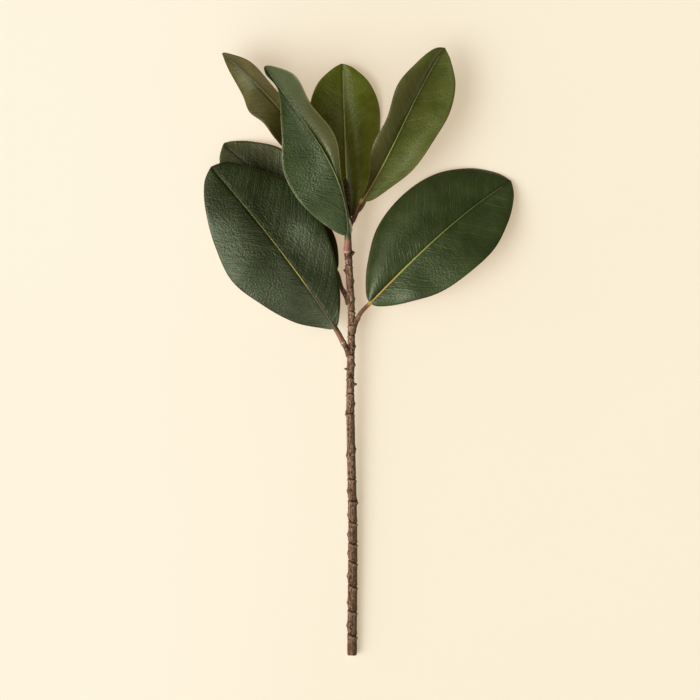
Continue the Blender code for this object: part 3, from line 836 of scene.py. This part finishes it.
def make_leaf_felt():
    """The rusty felt of the lower face, thinner over the raised veins."""
    made, tree = new_material("leaf_felt")
    figure = figure_of(tree)
    blade = mark(tree, "blade", "Vector")
    nap = noise(tree, blade, 2400, 3, 0.65)
    colour = tinted(tree, fade(tree, figure["Clouds"], 0.36, 0.66), FELT, PALE_FELT)
    colour = tinted(tree, fade(tree, nap, 0.35, 0.7, 0, 0.5), colour, FELT_NAP)
    colour = tinted(tree, maths(tree, "MULTIPLY", figure["Veins"], 0.5), colour, FELT_VEIN)
    height = maths(tree, "MULTIPLY_ADD", nap, 0.1, maths(tree, "MULTIPLY", figure["Veins"], 0.12))
    finish_material(tree, colour, 0.85, height, 1.0, Sheen_Weight=0.3, Sheen_Roughness=0.5)
    return made


def make_leaf_rim():
    """The thin brown edge of the margin."""
    made, tree = new_material("leaf_rim")
    blade = mark(tree, "blade", "Vector")
    patches = noise(tree, blade, 90, 2)
    colour = tinted(tree, fade(tree, patches, 0.4, 0.62), (0.055, 0.03, 0.012), (0.12, 0.08, 0.03))
    finish_material(tree, colour, 0.6, noise(tree, blade, 900), 0.1, Specular_IOR_Level=0.2)
    return made


COLLAR = (0.62, 0.46, 0.36)  # the pale ring at the foot of a stalk


def make_rib_skin(name, leaf):
    """Reddish on the stalk, turning yellow and then green along the midrib."""
    made, tree = new_material("rib_skin_" + name)
    run = mark(tree, "run")
    place = add_node(tree, "TexCoord").outputs["Object"]
    patches = noise(tree, place, 260, 3)
    fleck = noise(tree, place, 1400, 2)
    share = fade(tree, maths(tree, "MULTIPLY_ADD", patches, 0.003, run), -0.012, 0.158)
    straight = add_node(tree, "MapRange", {"Value": share, "From Min": 0.0, "From Max": 1.0}).outputs[0]
    stalk, foot, foot_end = leaf["stalk"], leaf["rib_foot"], leaf["foot_end"]
    stops = ((0.0, stalk), (0.008, stalk), (0.015, foot), (foot_end, foot))
    stops += ((foot_end + 0.12, leaf["rib"]), (1.0, leaf["rib_tip"]))
    colour = ramp(tree, straight, stops)
    colour = tinted(tree, fade(tree, fleck, 0.35, 0.7, 0, 0.28), colour, tuple(0.45 * part for part in stalk))
    collar = maths(tree, "MULTIPLY", mark(tree, "collar"), min(0.8, leaf["stalk_radius"] - 1.6))
    colour = tinted(tree, collar, colour, COLLAR)
    finish_material(tree, colour, 0.55, patches, 0.15)
    return made


leaf_felt = make_leaf_felt()
leaf_rim = make_leaf_rim()
for leaf_name, leaf in LEAVES.items():
    blade = make_blade("blade_" + leaf_name, leaf, (make_leaf_skin(leaf_name, leaf), leaf_felt, leaf_rim))
    rib = make_rib("rib_" + leaf_name, leaf, SPURS[leaf_name], make_rib_skin(leaf_name, leaf))
    for piece in (blade, rib):
        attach(piece, "root")
        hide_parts("leaf_" + leaf_name)


# --- the table top ---
# A plain cream board of frosted acrylic, lit softly from below as well, a little more so on the left. It only
# has to be wide enough for every view, and it isn't part of the branch.

BOARD_SIDE = 8.0
BOARD_TONES = ((0.575, 0.560, 0.550), (0.585, 0.570, 0.560))
BOARD_GLOW = (0.418, 0.330, 0.222)
BOARD_GLOW_LEFT = (0.478, 0.378, 0.285)


def make_board_finish():
    made, tree = new_material("board_paint")
    place = add_node(tree, "TexCoord").outputs["Object"]
    clouds = noise(tree, place, 3.0, 2)
    colour = tinted(tree, fade(tree, clouds, 0.3, 0.7), *BOARD_TONES)
    across = add_node(tree, "SeparateXYZ", {0: place}).outputs[0]
    shine = tinted(tree, fade(tree, across, -0.26, 0.04), BOARD_GLOW_LEFT, BOARD_GLOW)
    settings = dict(Specular_IOR_Level=0.1, Emission_Color=shine, Emission_Strength=1.0)
    finish_material(tree, colour, 0.9, noise(tree, place, 900), 0.02, **settings)
    return made


bpy.ops.object.select_all(action="DESELECT")
bpy.ops.mesh.primitive_plane_add(size=BOARD_SIDE)
board = bpy.context.object
board.name = board.data.name = "board"
board.data.materials.append(make_board_finish())


# --- the light and the camera ---
# One broad soft lamp, high on the left and a little towards the cut end, in a dim warm room that is bright
# near the lamp and darkest overhead. The camera looks straight down on the branch.

LAMP_FROM = Vector((-1.0, -0.45, 1.08))
LAMP_STRENGTH = 1.8
LAMP_ANGLE = math.radians(42)  # how wide the lamp looks from the branch
LAMP_COLOUR = (0.98, 1.0, 0.90)
NEAR_GLOW = (1.28, 1.28, 1.12)
FAR_GLOW = (0.17, 0.155, 0.075)
CEILING_GLOW = (0.036, 0.034, 0.012)
CEILING_CENTRE = Vector((0.30, 0.42, 0.86))
CAMERA_PLACE = (-0.0081, 0.00085, 1.653)
LENS, SENSOR_WIDTH = 100, 36  # millimetres

lamp_data = bpy.data.lights.new("lamp", "SUN")
lamp_data.energy = LAMP_STRENGTH
lamp_data.angle = LAMP_ANGLE
lamp_data.color = LAMP_COLOUR
lamp = bpy.data.objects.new("lamp", lamp_data)
lamp.location = LAMP_FROM
lamp.rotation_euler = LAMP_FROM.to_track_quat("Z", "Y").to_euler()
bpy.context.scene.collection.objects.link(lamp)

surround = bpy.data.worlds.new("surround")
surround.use_nodes = True
sky = surround.node_tree
view = add_node(sky, "TexCoord").outputs["Generated"]
near_lamp, near_ceiling = (
    add_node(sky, "VectorMath", {0: view, 1: centre.normalized()}, operation="DOT_PRODUCT").outputs["Value"]
    for centre in (LAMP_FROM, CEILING_CENTRE)
)
glow = tinted(sky, fade(sky, near_lamp, 0.9, 0.3), NEAR_GLOW, FAR_GLOW)
glow = tinted(sky, fade(sky, near_ceiling, 0.70, 0.90), glow, CEILING_GLOW)
sky.links.new(glow, sky.nodes["Background"].inputs["Color"])
bpy.context.scene.world = surround

camera_data = bpy.data.cameras.new("camera")
camera_data.lens = LENS
camera_data.sensor_width = SENSOR_WIDTH
camera = bpy.data.objects.new("camera", camera_data)
camera.location = CAMERA_PLACE
bpy.context.scene.collection.objects.link(camera)
bpy.context.scene.camera = camera
bpy.context.scene.view_settings.view_transform = "Standard"
